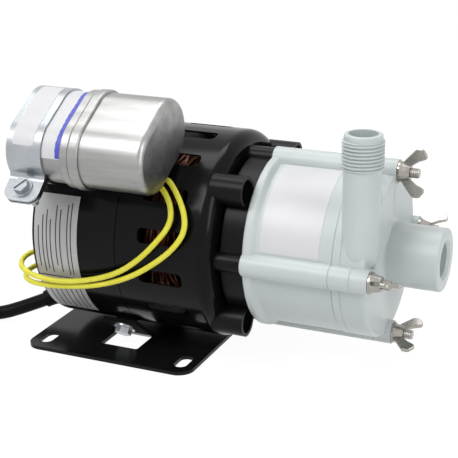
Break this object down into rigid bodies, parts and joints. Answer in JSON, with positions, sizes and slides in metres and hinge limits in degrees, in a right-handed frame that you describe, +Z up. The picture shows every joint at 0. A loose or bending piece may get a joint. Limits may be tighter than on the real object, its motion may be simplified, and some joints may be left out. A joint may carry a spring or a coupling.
{
  "type": "magnetic drive pump",
  "caption": "Magnetic drive pump: capacitor motor on a bent steel base, adapter ring, plastic volute with threaded side discharge and axial inlet, wing-nut studs and a mains cord.",
  "frame": {"origin": "centre of the base plate's slot pattern, on the plate's underside", "axes": "+X along the pump axis out of the inlet, +Y away from the capacitor's side, +Z up and out of the discharge"},
  "size_m": [0.462, 0.1484, 0.1495],
  "materials": {
    "black_paint": "gloss",
    "zinc_steel": "satin",
    "bright_steel": "satin",
    "lamination": "satin",
    "copper": "satin",
    "fan_plastic": "matte",
    "grey_plastic": "satin",
    "cast_hub": "matte",
    "magnet": "matte",
    "white_plastic": "satin",
    "seal_rubber": "matte",
    "ceramic": "satin",
    "stainless": "satin",
    "capacitor_metal": "brushed",
    "black_moulding": "satin",
    "yellow_insulation": "satin",
    "cord_jacket": "satin",
    "blade_brass": "bright"
  },
  "bodies": {
    "housing": {"adapter_ring": "grey_plastic", "adapter_screws": "zinc_steel", "base_bolts": "zinc_steel", "base_plate": "black_paint", "capacitor_can": "capacitor_metal", "capacitor_cap": "capacitor_metal", "capacitor_clamp": "zinc_steel", "capacitor_lead_a": "yellow_insulation", "capacitor_lead_b": "yellow_insulation", "clamp_saddle": "black_paint", "clamp_screw": "zinc_steel", "cord_relief": "black_moulding", "cord_tie": "black_moulding", "cover_seal": "seal_rubber", "front_bearing": "bright_steel", "front_shell": "black_paint", "front_thrust_washer": "ceramic", "impeller_spindle": "ceramic", "lead_bushings": "black_moulding", "lead_grommets": "black_moulding", "mount_pads": "black_paint", "plug_blades": "blade_brass", "power_cord": "cord_jacket", "power_cord_coil": "cord_jacket", "power_cord_end": "cord_jacket", "power_plug": "black_moulding", "pump_body": "white_plastic", "rear_bearing": "bright_steel", "rear_shell": "black_paint", "rear_thrust_washer": "ceramic", "separator": "white_plastic", "stator_core": "lamination", "stator_windings": "copper", "studs": "stainless", "volute_cover": "white_plastic"},
    "rotor": {"rotor_core": "lamination", "motor_shaft": "bright_steel", "cooling_fan": "fan_plastic", "drive_hub": "cast_hub", "drive_magnet": "magnet", "hub_set_screw": "bright_steel"},
    "impeller_set": {"impeller": "white_plastic", "impeller_magnet": "magnet"},
    "wing_nut_back": {"wing_nut_back": "stainless"},
    "wing_nut_top": {"wing_nut_top": "stainless"},
    "wing_nut_front": {"wing_nut_front": "stainless"},
    "wing_nut_bottom": {"wing_nut_bottom": "stainless"}
  },
  "joints": [
    {"name": "rotor_spin", "type": "hinge", "parent": "housing", "child": "rotor", "pos_m": [0, 0, 0.06525], "axis": [1, 0, 0], "continuous": true},
    {"name": "impeller_spin", "type": "hinge", "parent": "housing", "child": "impeller_set", "pos_m": [0.12, 0, 0.06525], "axis": [1, 0, 0], "continuous": true},
    {"name": "wing_nut_back_turn", "type": "hinge", "parent": "housing", "child": "wing_nut_back", "pos_m": [0.15, 0.045, 0.06525], "axis": [1, 0, 0], "continuous": true},
    {"name": "wing_nut_top_turn", "type": "hinge", "parent": "housing", "child": "wing_nut_top", "pos_m": [0.15, 0, 0.11025], "axis": [1, 0, 0], "continuous": true},
    {"name": "wing_nut_front_turn", "type": "hinge", "parent": "housing", "child": "wing_nut_front", "pos_m": [0.15, -0.045, 0.06525], "axis": [1, 0, 0], "continuous": true},
    {"name": "wing_nut_bottom_turn", "type": "hinge", "parent": "housing", "child": "wing_nut_bottom", "pos_m": [0.15, 0, 0.02025], "axis": [1, 0, 0], "continuous": true}
  ],
  "couplings": [
    {"joint": "impeller_spin", "follows": "rotor_spin", "ratio": 1}
  ]
}
